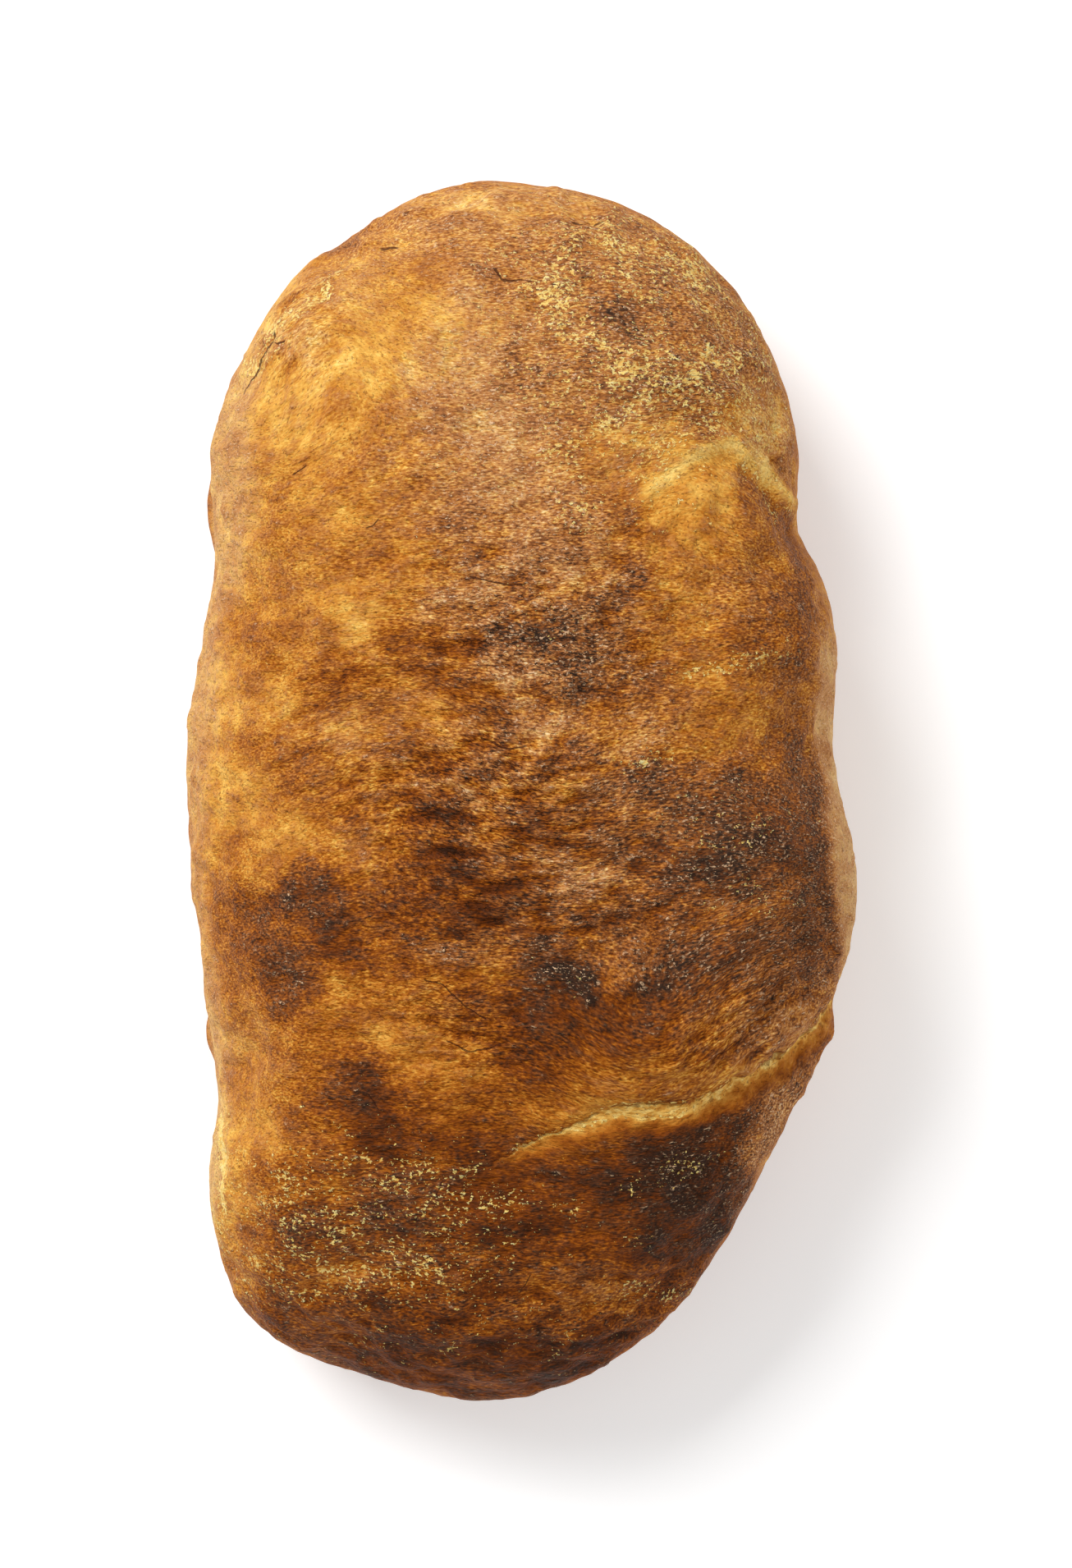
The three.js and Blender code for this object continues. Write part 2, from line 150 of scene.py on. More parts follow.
# Strokes laid over each other in this order: centre, half-sizes, turn in degrees, bake, bloom.
# Bake runs from 0, pale, to 1, charred. Bloom runs from 0, a bare glowing crust, to 1, a dull floury film.
BARE_BAKE = 0.45
BARE_BLOOM = 0.3
STROKES = [
    # Broad grounds.
    (-45, 90, 60, 90, 0, 0.40, 0.22),
    (20, 110, 62, 70, 0, 0.42, 0.70),
    (42, 120, 34, 36, -20, 0.53, 0.75),
    (50, 46, 42, 40, 0, 0.46, 0.10),
    (-50, 10, 45, 50, 0, 0.49, 0.18),
    (4, 10, 40, 70, 0, 0.58, 0.35),
    (55, -30, 45, 46, 0, 0.70, 0.50),
    (-40, -60, 60, 34, 0, 0.54, 0.03),
    (0, -130, 110, 42, 0, 0.72, 0.10),
    (20, -75, 50, 20, 15, 0.64, 0.05),
    # Pale gold.
    (-40, 117, 34, 13, 16, 0.23, 0.02),
    (-66, 102, 14, 14, 40, 0.22, 0.05),
    (-24, 134, 16, 9, 0, 0.24, 0.10),
    (-10, 160, 30, 4, 0, 0.20, 0.45),
    (-44, 46, 11, 8, 0, 0.24, 0.00),
    (-17, 113, 13, 16, 0, 0.23, 0.60),
    (28, 88, 9, 9, 0, 0.36, 0.20),
    (-23, 17, 10, 5, -15, 0.36, 0.00),
    (-82, 20, 8, 34, 0, 0.24, 0.10),
    (-74, -6, 12, 14, 0, 0.30, 0.05),
    (-62, 26, 8, 10, 0, 0.28, 0.05),
    (-32, -66, 22, 8, -28, 0.38, 0.00),
    (-17, -73, 12, 6, -20, 0.32, 0.00),
    (-72, -68, 10, 12, 0, 0.36, 0.30),
    (-74, -90, 9, 14, 0, 0.33, 0.08),
    (-78, -116, 8, 18, 0, 0.26, 0.10),
    (46, 80, 17, 9, 20, 0.19, 0.00),
    (58, 92, 8, 4, 0, 0.16, 0.10),
    (60, -62, 24, 10, 30, 0.50, 0.25),
    # Glowing orange.
    (46, 58, 13, 17, 10, 0.40, 0.22),
    (54, 18, 18, 14, 0, 0.41, 0.15),
    (-22, -88, 30, 9, 0, 0.56, 0.00),
    (-60, 80, 9, 12, 0, 0.40, 0.15),
    (-46, 98, 12, 6, 0, 0.34, 0.10),
    (-62, 112, 7, 4, 0, 0.30, 0.10),
    (-34, 144, 8, 5, 0, 0.34, 0.15),
    (-68, 48, 6, 8, 20, 0.42, 0.20),
    (-78, 64, 7, 12, 0, 0.24, 0.20),
    (-30, 62, 14, 10, 0, 0.40, 0.15),
    (-30, 43, 9, 8, 0, 0.71, 0.12),
    (-46, 25, 12, 8, -20, 0.52, 0.10),
    (-46, 14, 8, 5, 0, 0.38, 0.30),
    # Bloom along the spine.
    (-6, 96, 16, 26, 0, 0.37, 0.95),
    (4, 73, 20, 14, 0, 0.46, 0.85),
    (-2, 33, 12, 4, 5, 0.38, 0.95),
    (15, 38, 7, 6, 0, 0.50, 0.95),
    (6, 20, 14, 5, 0, 0.42, 0.75),
    (-17, 1, 9, 4, 0, 0.30, 0.80),
    (16, -27, 14, 4, 12, 0.40, 0.85),
    (4, -19, 8, 3, -20, 0.54, 0.80),
    (32, 14, 12, 5, 38, 0.46, 0.70),
    (29, 27, 8, 8, 0, 0.60, 0.45),
    (-26, 4, 8, 3, 0, 0.50, 0.50),
    (-16, -44, 14, 4, 0, 0.52, 0.50),
    # Scorch on the upper half.
    (-13, 48, 12, 6, -12, 0.34, 0.95),
    (6, 42, 15, 7, 0, 0.73, 0.90),
    (20, 50, 10, 5, 25, 0.72, 0.85),
    (28, 60, 7, 8, 0, 0.78, 0.60),
    (2, 60, 20, 5, 0, 0.42, 0.80),
    (13, 32, 7, 8, 0, 0.74, 0.80),
    (26, 38, 7, 10, 0, 0.70, 0.60),
    (26, 127, 8, 4.5, -15, 0.66, 0.95),
    (0, 115, 8, 7, 0, 0.53, 0.90),
    (-8, 146, 12, 6, 0, 0.46, 0.60),
    (46, 104, 12, 5, 0, 0.57, 0.60),
    (63, 101, 11, 9, -20, 0.27, 0.40),
    (28, 104, 9, 6, 0, 0.45, 0.65),
    (40, 150, 12, 3, -35, 0.44, 0.60),
    (-56, 42, 8, 6, 0, 0.54, 0.15),
    (-49, 31, 10, 5, 0, 0.61, 0.08),
    (72, 40, 7, 12, 0, 0.64, 0.45),
    # Scorch across the middle.
    (34, 0, 12, 7, 0, 0.66, 0.70),
    (14, 2, 10, 6, 0, 0.48, 0.20),
    (50, -8, 22, 12, -5, 0.76, 0.80),
    (62, -14, 18, 12, 10, 0.84, 0.70),
    (42, -22, 14, 6, 5, 0.84, 0.60),
    (54, -23, 12, 6, 0, 0.92, 0.85),
    (77, -1, 4, 9, 0, 0.75, 0.75),
    (73, -14, 7, 10, 0, 0.84, 0.65),
    (81, -28, 5, 12, 5, 0.84, 0.65),
    (-8, 8, 8, 4.5, -15, 0.70, 0.50),
    (3, 15, 11, 4, 10, 0.38, 0.70),
    (-33, 1, 6, 5, 0, 0.48, 0.40),
    (-24, -9, 13, 4, 20, 0.64, 0.20),
    (-22, -20, 14, 6, 0, 0.84, 0.10),
    (3, -11, 14, 6, 0, 0.73, 0.20),
    (18, -14, 9, 5, 0, 0.55, 0.30),
    (-3, -31, 12, 6, -5, 0.92, 0.15),
    (28, -4, 10, 4, 0, 0.56, 0.60),
    (-46, -13, 9, 6, 0, 0.42, 0.10),
    (-63, -15, 10, 6, 0, 0.34, 0.05),
    # Scorch below the middle.
    (-60, -30, 16, 8, 0, 0.72, 0.35),
    (-62, -28, 8, 5, 0, 0.82, 0.50),
    (-52, -37, 10, 6, 20, 0.84, 0.35),
    (-72, -36, 6, 9, 0, 0.74, 0.40),
    (-65, -48, 8, 9, 0, 0.82, 0.50),
    (-28, -32, 13, 8, -5, 0.81, 0.08),
    (-12, -33, 16, 6, 0, 0.78, 0.15),
    (6, -40, 14, 6, 0, 0.72, 0.35),
    (48, -43, 18, 6, 5, 0.79, 0.70),
    (38, -53, 10, 5, 0, 0.88, 0.50),
    (60, -50, 12, 5, 15, 0.78, 0.55),
    (76, -46, 6, 8, 0, 0.80, 0.50),
    (9, -50, 11, 9, 0, 0.97, 0.85),
    (28, -46, 8, 5, 0, 0.54, 0.40),
    (61, -31, 12, 6, 10, 0.56, 0.40),
    (9, -60, 18, 6, 0, 0.91, 0.25),
    (4, -66, 22, 7, 0, 0.72, 0.03),
    (24, -62, 14, 6, 0, 0.70, 0.10),
    # The lower end.
    (-42, -84, 7, 9, 0, 0.84, 0.35),
    (-38, -94, 7, 9, 0, 0.88, 0.10),
    (-54, -84, 5, 8, 0, 0.64, 0.15),
    (-13, -94, 15, 7, 0, 0.75, 0.00),
    (-55, -119, 12, 8, -20, 0.80, 0.45),
    (-32, -112, 14, 8, 0, 0.80, 0.50),
    (-3, -108, 17, 8, 0, 0.86, 0.05),
    (-36, -124, 20, 6, 0, 0.66, 0.25),
    (20, -105, 14, 5, 15, 0.74, 0.10),
    (14, -85, 20, 5, 14, 0.53, 0.00),
    (34, -79, 18, 5, 8, 0.48, 0.05),
    (46, -97, 20, 7, 26, 0.95, 0.45),
    (30, -106, 15, 8, 20, 0.98, 0.35),
    (50, -114, 14, 12, 20, 1.00, 0.50),
    (40, -121, 13, 9, 0, 0.94, 0.40),
    (58, -106, 5, 8, -20, 0.88, 0.60),
    (-62, -136, 12, 7, -40, 0.66, 0.20),
    (-44, -136, 10, 6, 0, 0.56, 0.20),
    (-20, -141, 30, 7, 0, 0.75, 0.10),
    (4, -150, 60, 6, 0, 0.88, 0.15),
    (0, -161, 70, 7, 0, 1.00, 0.20),
    # The places left between them.
    (-46, 150, 9, 6, 0, 0.68, 0.75),
    (-45, 139, 18, 8, 20, 0.34, 0.40),
    (-20, 150, 20, 5, 0, 0.38, 0.80),
    (0, 150, 8, 4, 0, 0.50, 0.85),
    (-63, 128, 10, 12, 40, 0.32, 0.40),
    (-28, 136, 9, 6, 0, 0.36, 0.20),
    (-14, 135, 9, 6, 0, 0.34, 0.90),
    (-15, 75, 8, 6, 0, 0.54, 0.70),
    (-15, 62, 8, 5, 0, 0.54, 0.55),
    (31, 74, 7, 6, 0, 0.52, 0.30),
    (-60, 30, 8, 6, 0, 0.49, 0.08),
    (-30, 31, 7, 5, 0, 0.60, 0.06),
    (30, -30, 8, 5, 0, 0.72, 0.45),
    (74, -30, 6, 8, 0, 0.74, 0.55),
    (2, -121, 12, 6, 0, 0.80, 0.03),
    (-28, -121, 10, 4, 0, 0.74, 0.30),
    (-60, -1, 9, 5, 0, 0.53, 0.18),
    (-32, -15, 6, 4, 0, 0.72, 0.12),
    (-13, 17, 7, 4, 0, 0.56, 0.45),
    (-60, -103, 8, 6, 0, 0.60, 0.10),
    (60, -74, 9, 3, 28, 0.38, 0.15),
    (74, -62, 7, 3.5, 42, 0.34, 0.25),
    (33, -16, 7, 5, 0, 0.74, 0.50),
    (-47, -43, 11, 4, 0, 0.74, 0.10),
    (3, -76, 9, 5, 0, 0.68, 0.00),
    (59, -61, 18, 7, 30, 0.60, 0.25),
    (18, -136, 10, 6, 0, 0.58, 0.25),
    (1, 136, 10, 7, 0, 0.50, 0.70),
    (45, 72, 9, 6, 0, 0.30, 0.00),
    (-45, 61, 10, 6, 0, 0.56, 0.15),
    (-73, 44, 6, 7, 0, 0.46, 0.10),
    (65, 47, 9, 14, 0, 0.67, 0.40),
    (-15, 30, 9, 5, 0, 0.60, 0.30),
    (-44, 1, 8, 6, 0, 0.55, 0.08),
    (-75, -16, 6, 7, 0, 0.44, 0.10),
    (-45, -104, 6, 6, 0, 0.60, 0.20),
    (68, -92, 6, 12, -20, 0.55, 0.90),
    (-59, 45, 10, 7, 0, 0.36, 0.15),
    (-49, 76, 13, 6, 0, 0.37, 0.12),
    (-60, 121, 8, 7, 0, 0.23, 0.30),
    (-44, 136, 9, 5, 0, 0.27, 0.42),
    (14, 107, 8, 6, 0, 0.44, 0.70),
    (45, 89, 7, 5, 20, 0.28, 0.10),
    (-46, -15, 8, 4, 0, 0.41, 0.32),
    (22, -84, 13, 4, 12, 0.36, 0.05),
    (61, -46, 6, 5, 0, 0.75, 0.48),
    (67, -93, 6, 9, -20, 0.48, 0.95),
    (-59, -151, 9, 5, -30, 0.72, 0.30),
    (-44, -135, 8, 4, 0, 0.48, 0.25),
    (61, 52, 8, 10, 0, 0.50, 0.45),
    (-12, -160, 28, 4, 0, 0.72, 0.05),
    (-69, 123, 4, 6, -30, 0.34, 0.55),
    (-75, -128, 5, 8, 0, 0.45, 0.25),
    (-75, 20, 6, 9, 0, 0.30, 0.20),
    (30, 91, 7, 5, 0, 0.34, 0.40),
    (60, 105, 8, 5, 0, 0.40, 0.40),
    (15, -60, 9, 4, 0, 0.81, 0.30),
    (2, 163, 14, 4, 0, 0.38, 0.80),
]

# Flour, laid the same way: centre, half-sizes, turn, and the share of the crust that it covers.
BARE_FLOUR = 0.003
FLOUR_STROKES = [
    (34, 122, 44, 40, -20, 0.10),
    (42, 110, 24, 15, -10, 0.17),
    (10, 137, 9, 8, 0, 0.32),
    (10, 127, 3, 6, 0, 0.32),
    (30, 143, 20, 8, -25, 0.20),
    (24, 150, 4, 5, -10, 0.45),
    (46, 142, 12, 4, -45, 0.40),
    (24, 118, 8, 6, 0, 0.22),
    (26, 129, 8, 5, 0, 0.03),
    (44, 128, 8, 7, -30, 0.03),
    (58, 128, 12, 3, -55, 0.15),
    (68, 106, 3, 22, 0, 0.20),
    (58, 112, 6, 10, 0, 0.10),
    (31, 113, 9, 7, 0, 0.48),
    (49, 115, 9, 5, 0, 0.38),
    (40, 101, 16, 6, 10, 0.28),
    (36, 90, 9, 6, 0, 0.20),
    (44, 86, 8, 3, 30, 0.16),
    (66, 82, 12, 2.5, -55, 0.10),
    (12, 88, 5, 9, 0, 0.22),
    (13, 74, 5, 6, 0, 0.14),
    (58, 34, 14, 2.5, 8, 0.22),
    (48, 44, 10, 6, 0, 0.03),
    (36, 8, 10, 5, 0, 0.08),
    (56, -10, 20, 9, 0, 0.05),
    (62, -30, 14, 7, 0, 0.04),
    (2, 46, 18, 8, 0, 0.03),
    (10, -50, 7, 7, 0, 0.03),
    (-44, -120, 40, 26, -10, 0.07),
    (-38, -129, 22, 5, 0, 0.22),
    (-31, -105, 11, 3, 0, 0.34),
    (-28, -101, 14, 1.6, -5, 0.24),
    (-63, -109, 12, 8, 20, 0.15),
    (-50, -118, 12, 6, 20, 0.16),
    (-20, -112, 12, 5, 0, 0.16),
    (-4, -113, 7, 6, 0, 0.26),
    (14, -114, 5, 3, 0, 0.12),
    (40, -104, 12, 3, 25, 0.17),
    (31, -121, 5, 3, 0, 0.14),
    (35, -136, 12, 2, 12, 0.20),
    (-66, -130, 8, 8, 40, 0.16),
    (0, -146, 60, 10, 0, 0.03),
    (-57, 133, 12, 2, 42, 0.46),
    (-69, 118, 2, 11, -35, 0.34),
    (-81, -103, 2.2, 15, 0, 0.50),
]
# A thread of flour low on the left flank, left by the proofing basket.
FLOUR_THREAD = [(-80.4, -88), (-80.2, -98), (-79.8, -108), (-79.2, -119)]

# What stands for a line's distance where the line is far away, in mm, and for a crack's, in half-widths,
# with how far inside its ends a place then is, in mm.
FAR = 20.0
NO_CRACK = 30.0
BEYOND_ENDS = -3.0

# Crust colours from pale to charred, clean and under a floury bloom, as display values.
CLEAN_CRUST = [
    (0.00, (248, 208, 118)), (0.15, (228, 173, 79)), (0.30, (203, 136, 50)), (0.45, (174, 102, 25)),
    (0.60, (142, 73, 8)), (0.75, (108, 50, 5)), (0.88, (77, 35, 6)), (1.00, (50, 25, 9)),
]
BLOOMED_CRUST = [
    (0.00, (240, 214, 174)), (0.15, (217, 172, 111)), (0.30, (194, 137, 82)), (0.45, (169, 108, 60)),
    (0.60, (138, 86, 48)), (0.75, (105, 66, 39)), (0.88, (77, 51, 34)), (1.00, (51, 36, 27)),
]
FLOUR = [(0.0, (220, 168, 76)), (0.5, (252, 222, 128)), (1.0, (255, 244, 180))]
# Light flecks on bloomed crust: partly scales of bloom, partly painted highlight.
SCALE_AND_HIGHLIGHT_COLOUR = (230, 190, 148)
PORE_COLOUR = (92, 44, 14)
CRACK_COLOUR = (70, 32, 18)
# The painted shadow under the lower fold's lip.
LIP_SHADOW_COLOUR = (96, 46, 18)
CRUST_SHINE = 0.08

# The material's noises: size in mm along each axis, detail, roughness.
PATCHES = ((11, 8, 8), 3.0, 0.6)
MOTTLE = ((4.2, 2.5, 2.8), 2.0, 0.6)
SPECKLE = ((2.8, 1.0, 1.2), 2.0, 0.6)
GRAIN = ((1.4, 0.5, 0.65), 1.0, 0.6)
CREASES = ((7, 2.2, 4), 3.0, 0.6)
SCALES_AND_HIGHLIGHTS = ((1.15, 0.65, 0.75), 2.0, 0.65)
PORES = ((1.1, 0.7, 0.8), 1.0, 0.6)
CLUMPS = ((8, 5.5, 6), 2.0, 0.6)
FLECKS = ((1.2, 0.95, 1.0), 2.0, 0.7)
LINE_WANDER = ((2.6, 2.6, 2.6), 2.0, 0.5)
THREAD_WANDER = ((1.6, 1.6, 1.6), 2.0, 0.5)
# What the noise texture is multiplied by to spread by about 1 either way.
NOISE_GAIN = 12.0

# The bake map's two charts: how far the flanks are drawn out, the lean where the base starts, and the gap.
FLANK_SPREAD = 0.6
BASE_LEAN = -0.45
CHART_GAP = 4.0

# ---------------------------------------------------------------- the room

FLOOR_REACH = 4.0
FLOOR_FINISH = {
    "Base Color": (0.93, 0.93, 0.93, 1), "Roughness": 0.8, "Emission Color": (1, 1, 1, 1),
    "Emission Strength": 0.22,
}
ROOM_LIGHT = 0.5
# Square soft boxes that look at the loaf: name, place, size, power.
SOFT_LAMPS = [("key", (-1.9, 2.1, 2.8), 2.0, 132), ("fill", (1.9, -1.3, 2.8), 2.6, 24)]
LOOK_AT = Vector((0, 0, 0.04))
SENSOR = 36.0
LENS = 135.0
LENGTH_SHARE = 0.7775  # the loaf's length as a share of the picture's height
RIM_LEVEL = 0.035  # height of the loaf's widest contour
VIEW_DISTANCE = 2 * HALF_LENGTH * MM / LENGTH_SHARE * LENS / SENSOR
AIM = (0.0043, 0.0017)  # where the camera's axis meets the floor


def smooth_step(values, start, stop):
    """0 up to start and 1 from stop on, smooth between. Either may be the larger."""
    share = np.clip((values - start) / (stop - start), 0, 1)
    return share * share * (3 - 2 * share)


def bump(values, centre, half_width):
    """1 at the centre, falling off on both sides."""
    return np.exp(-(((values - centre) / half_width) ** 2))


def move_toward(values, target, share):
    """Move the values, in place, by a share of the way to the target."""
    values += (target - values) * share


def roughness_of(points, height, size, octaves, shift):
    """Smooth noise over the points, about -height to height, its features as large as size, in mm."""
    scaled = points / np.array(size) + shift
    return height * np.array([noise.fractal(place, 1.0, 2.0, octaves) for place in scaled.tolist()])


def turned(offsets, degrees):
    """Offsets in the plan, along the axes of something turned by so many degrees."""
    angle = math.radians(degrees)
    x, y = offsets.T
    along = x * math.cos(angle) + y * math.sin(angle)
    across = y * math.cos(angle) - x * math.sin(angle)
    return np.stack([along, across], 1)


def patch(plan, x, y, half_x, half_y, turn):
    """1 at the middle of a soft-edged ellipse of the plan, and 0 well outside it."""
    away = turned(plan - (x, y), turn) / (half_x, half_y)
    return np.exp(-((away**2).sum(1) ** PATCH_EDGE))


class Beside:
    """Each place's distance from a path across the plan, positive on the left of someone walking along it,
    how far along the path it is, in mm, and the way to that left. The path's two ends run on straight."""

    def __init__(self, path, plan):
        path = np.array(path, float)
        best = np.full(len(plan), np.inf)
        self.offset = np.zeros(len(plan))
        self.reach = np.zeros(len(plan))
        self.left = np.zeros((len(plan), 2))
        self.length = 0.0
        for i in range(len(path) - 1):
            step = path[i + 1] - path[i]
            length = np.linalg.norm(step)
            ahead = step / length
            aside = np.array([-ahead[1], ahead[0]])
            away = plan - path[i]
            lowest = -np.inf if i == 0 else 0.0
            highest = np.inf if i == len(path) - 2 else length
            held = np.clip(away @ ahead, lowest, highest)
            distance = np.linalg.norm(away - held[:, None] * ahead, axis=1)
            nearer = distance < best
            best[nearer] = distance[nearer]
            self.offset[nearer] = (np.where(away @ aside < 0, -1, 1) * distance)[nearer]
            self.reach[nearer] = (self.length + held)[nearer]
            self.left[nearer] = aside
            self.length += length

    def shown(self, start, end):
        """1 along the path, fading out towards its start and its end. Each is two distances from that end of
        the path: where it's 0, and where it's 1."""
        return smooth_step(self.reach, *start) * smooth_step(self.length - self.reach, *end)

    def from_ends(self):
        """How far each place is from the nearer end of the path, below 0 beyond the ends."""
        return np.minimum(self.reach, self.length - self.reach)


# ---------------------------------------------------------------- the skin


def lattice(cells):
    """The surface of a box of unit cells: its points, and its faces as four points each, turned outwards."""
    faces = []
    for axis in range(3):
        first, second = (axis + 1) % 3, (axis + 2) % 3
        u, v = np.meshgrid(np.arange(cells[first]), np.arange(cells[second]), indexing="ij")
        for level in (0, cells[axis]):
            corners = []
            for du, dv in ((0, 0), (1, 0), (1, 1), (0, 1)):
                corner = np.empty(u.shape + (3,), int)
                corner[..., first] = u + du
                corner[..., second] = v + dv
                corner[..., axis] = level
                corners.append(corner.reshape(-1, 3))
            if level == 0:
                corners.reverse()
            faces.append(np.stack(corners, 1))
    faces = np.concatenate(faces)
    counts = cells + 1
    codes = np.ravel_multi_index(faces.reshape(-1, 3).T, counts)
    codes, numbers = np.unique(codes, return_inverse=True)
    points = np.stack(np.unravel_index(codes, counts), 1)
    return points, numbers.reshape(-1, 4)


def rounded_form(node):
    """The CAD solid with its facets rounded off, ready for rays to be cast on."""
    solid = bmesh.new()
    solid.from_mesh(node.data)
    bmesh.ops.remove_doubles(solid, verts=solid.verts, dist=1e-6)
    bmesh.ops.join_triangles(
        solid, faces=solid.faces, angle_face_threshold=math.pi, angle_shape_threshold=math.pi
    )
    mesh = bpy.data.meshes.new("rounded_form")
    solid.to_mesh(mesh)
    solid.free()
    form = bpy.data.objects.new("rounded_form", mesh)
    bpy.context.scene.collection.objects.link(form)
    form.modifiers.new("rounding", "SUBSURF").levels = 2
    tree = BVHTree.FromObject(form, bpy.context.evaluated_depsgraph_get())
    bpy.data.objects.remove(form)
    bpy.data.meshes.remove(mesh)
    return tree


def cast_skin(tree, low, high):
    """The skin's points on the form, in mm, and its faces."""
    points, faces = lattice(CELLS)
    half = (high - low) / 2
    origin = Vector((low + half) * (1, 1, 0) + (0, 0, low[2] + 2 * half[2] * CAST_HEIGHT))
    spread = np.tan((2 * points / CELLS - 1) * math.pi / 4) * half
    places = [tree.ray_cast(origin, Vector(way).normalized())[0] for way in spread]
    return np.array(places) / MM, faces


def skin_normals(points, faces):
    across = points[faces[:, 2]] - points[faces[:, 0]]
    along = points[faces[:, 3]] - points[faces[:, 1]]
    face_normals = np.cross(across, along)
    normals = np.zeros_like(points)
    for corner in range(4):
        np.add.at(normals, faces[:, corner], face_normals)
    return normals / np.linalg.norm(normals, axis=1, keepdims=True)


def seen_from_above(points):
    """Where the camera sees each point against the level of the loaf's widest contour, in mm."""
    aim = np.array(AIM) / MM
    distance = VIEW_DISTANCE / MM
    nearer = distance - (points[:, 2] - RIM_LEVEL / MM)
    return aim + (points[:, :2] - aim) * (distance / nearer)[:, None]


class Skin:
    """The skin as it was cast onto the form, before its relief, and what kind of place each point is."""

    def __init__(self, points, faces):
        self.points = points
        self.faces = faces
        self.normals = skin_normals(points, faces)
        self.plan = seen_from_above(points)
        self.x, self.y = self.plan.T
        self.lean = self.normals[:, 2]  # 1 facing up, 0 at the widest contour, -1 on the base
        self.crown = smooth_step(self.lean, 0.0, 0.35)
        self.flank = 0.7 * smooth_step(self.lean, -0.75, -0.2) * (1 - self.crown)
        self.base = smooth_step(self.lean, -0.55, -0.9)
        self.off_base = smooth_step(self.lean, -0.9, -0.5)
        self.left = smooth_step(self.x, -40, -70) * smooth_step(self.y, -134, -110)
        self.wander = np.stack([roughness_of(points, *texture) for texture in WANDER], 1)
        self.wrinkled = np.zeros(len(points))
        for *ellipse, strength in WRINKLED:
            self.wrinkled = np.maximum(self.wrinkled, strength * patch(self.plan, *ellipse))
        self.wrinkled *= self.crown
        # The points as the grain knows them, turned where the skin was drawn out another way than along X.
        self.laid = points.copy()
        for x, y, half_x, half_y, turn in DRAWN:
            away = self.plan - (x, y)
            cover = patch(self.plan, x, y, half_x, half_y, turn)
            self.laid[:, :2] += (turned(away, turn) - away) * cover[:, None]

    def strayed(self, amount):
        """The plan with each place moved by about the amount, in mm."""
        return self.plan + amount * self.wander


def press_folds(skin):
    """The skin's points with the two folds, each a lip over a narrow valley, and the foot's tabs."""
    moved = skin.points.copy()
    for path, lip, valley, slide in FOLDS:
        fold = Beside(path, skin.plan)
        strength = fold.shown((-14, 0), (-4, 0.75 * fold.length)) * skin.crown
        height = lip * bump(fold.offset, -2.8, 2.6) - valley * bump(fold.offset, 0.8, 1.9)
        height += 1.0 * bump(fold.offset, 7.0, 3.6) + 0.7 * bump(fold.offset, 13, 5)
        moved += skin.normals * (height * strength)[:, None]
        shift = slide * bump(fold.offset, -1.0, 2.2) * strength
        moved[:, :2] += fold.left * shift[:, None]
    level = skin.points[:, 2]
    for middle, half_length, amount in FOOT_TABS:
        here = bump(skin.y, middle, half_length) * smooth_step(skin.x, -60, -72)
        out = here * smooth_step(level, FOOT_TOP + 3, FOOT_TOP - 3) * smooth_step(level, 1, 5)
        moved[:, 0] -= amount * out
        moved[:, 0] += TAB_NOTCH * here * smooth_step(level, FOOT_TOP + 1, FOOT_TOP + 8)
    return moved


def crust_relief(skin):
    """How far the skin stands out, in mm: the lumps, which the bake follows, and then the rest, which it
    doesn't: blisters, wrinkles, cracks and pits. The third result is the wrinkles alone, above 0 on a ridge
    and below 0 in a crease."""
    lumps = sum(roughness_of(skin.laid, *texture) for texture in LUMPS)
    relief = roughness_of(skin.laid, *BLISTERS)
    relief += (1 + skin.wrinkled) * roughness_of(skin.laid, *GRIT)
    ridges = RIDGE_LIMIT * np.tanh((1 - np.abs(roughness_of(skin.laid, *WRINKLES))) / RIDGE_LIMIT)
    ridges *= np.clip(skin.wrinkled + 0.15, 0, 1)
    relief += RIDGE_HEIGHT * ridges
    for width, path in CRACKS:
        crack = Beside(path, skin.plan)
        open_part = smooth_step(crack.from_ends(), -1.0, 1.5)
        relief -= CRACK_DEPTH * width * bump(crack.offset, 0, 1.1) * open_part * skin.crown
    for x, y, radius in PITS:
        distance = np.hypot(skin.x - x, skin.y - y)
        relief -= PIT_DEPTH * radius * bump(distance, 0, radius + 0.5) * skin.crown
    lumps *= skin.crown + 0.4 * skin.flank
    relief *= skin.crown + 0.25 * skin.flank
    return lumps, relief, ridges * skin.crown


def chart_places(points, skin):
    """Bake-map places for each face corner: the crown and flanks drawn out flat in one chart, and the base
    in another, side by side in the unit square."""
    faces = skin.faces
    out = points[:, :2] / (HALF_WIDTH**2, HALF_LENGTH**2)
    out = out / np.maximum(np.linalg.norm(out, axis=1, keepdims=True), 1e-9)
    below_top = points[:, 2].max() - points[:, 2]
    upper = points[:, :2] + out * (FLANK_SPREAD * below_top)[:, None]
    base = points[:, :2]
    on_base = skin.lean[faces].mean(1) < BASE_LEAN
    upper_low = upper[faces[~on_base]].reshape(-1, 2).min(0)
    upper_high = upper[faces[~on_base]].reshape(-1, 2).max(0)
    base_low = base[faces[on_base]].reshape(-1, 2).min(0)
    base_high = base[faces[on_base]].reshape(-1, 2).max(0)
    width = upper_high[0] - upper_low[0] + base_high[0] - base_low[0] + 3 * CHART_GAP
    side = max(width, upper_high[1] - upper_low[1] + 2 * CHART_GAP)
    upper_places = (upper[faces] - upper_low + CHART_GAP) / side
    base_start = (upper_high[0] - upper_low[0] + 2 * CHART_GAP, CHART_GAP)
    base_places = (base[faces] - base_low + base_start) / side
    return np.where(on_base[:, None, None], base_places, upper_places)


# ---------------------------------------------------------------- painting the skin


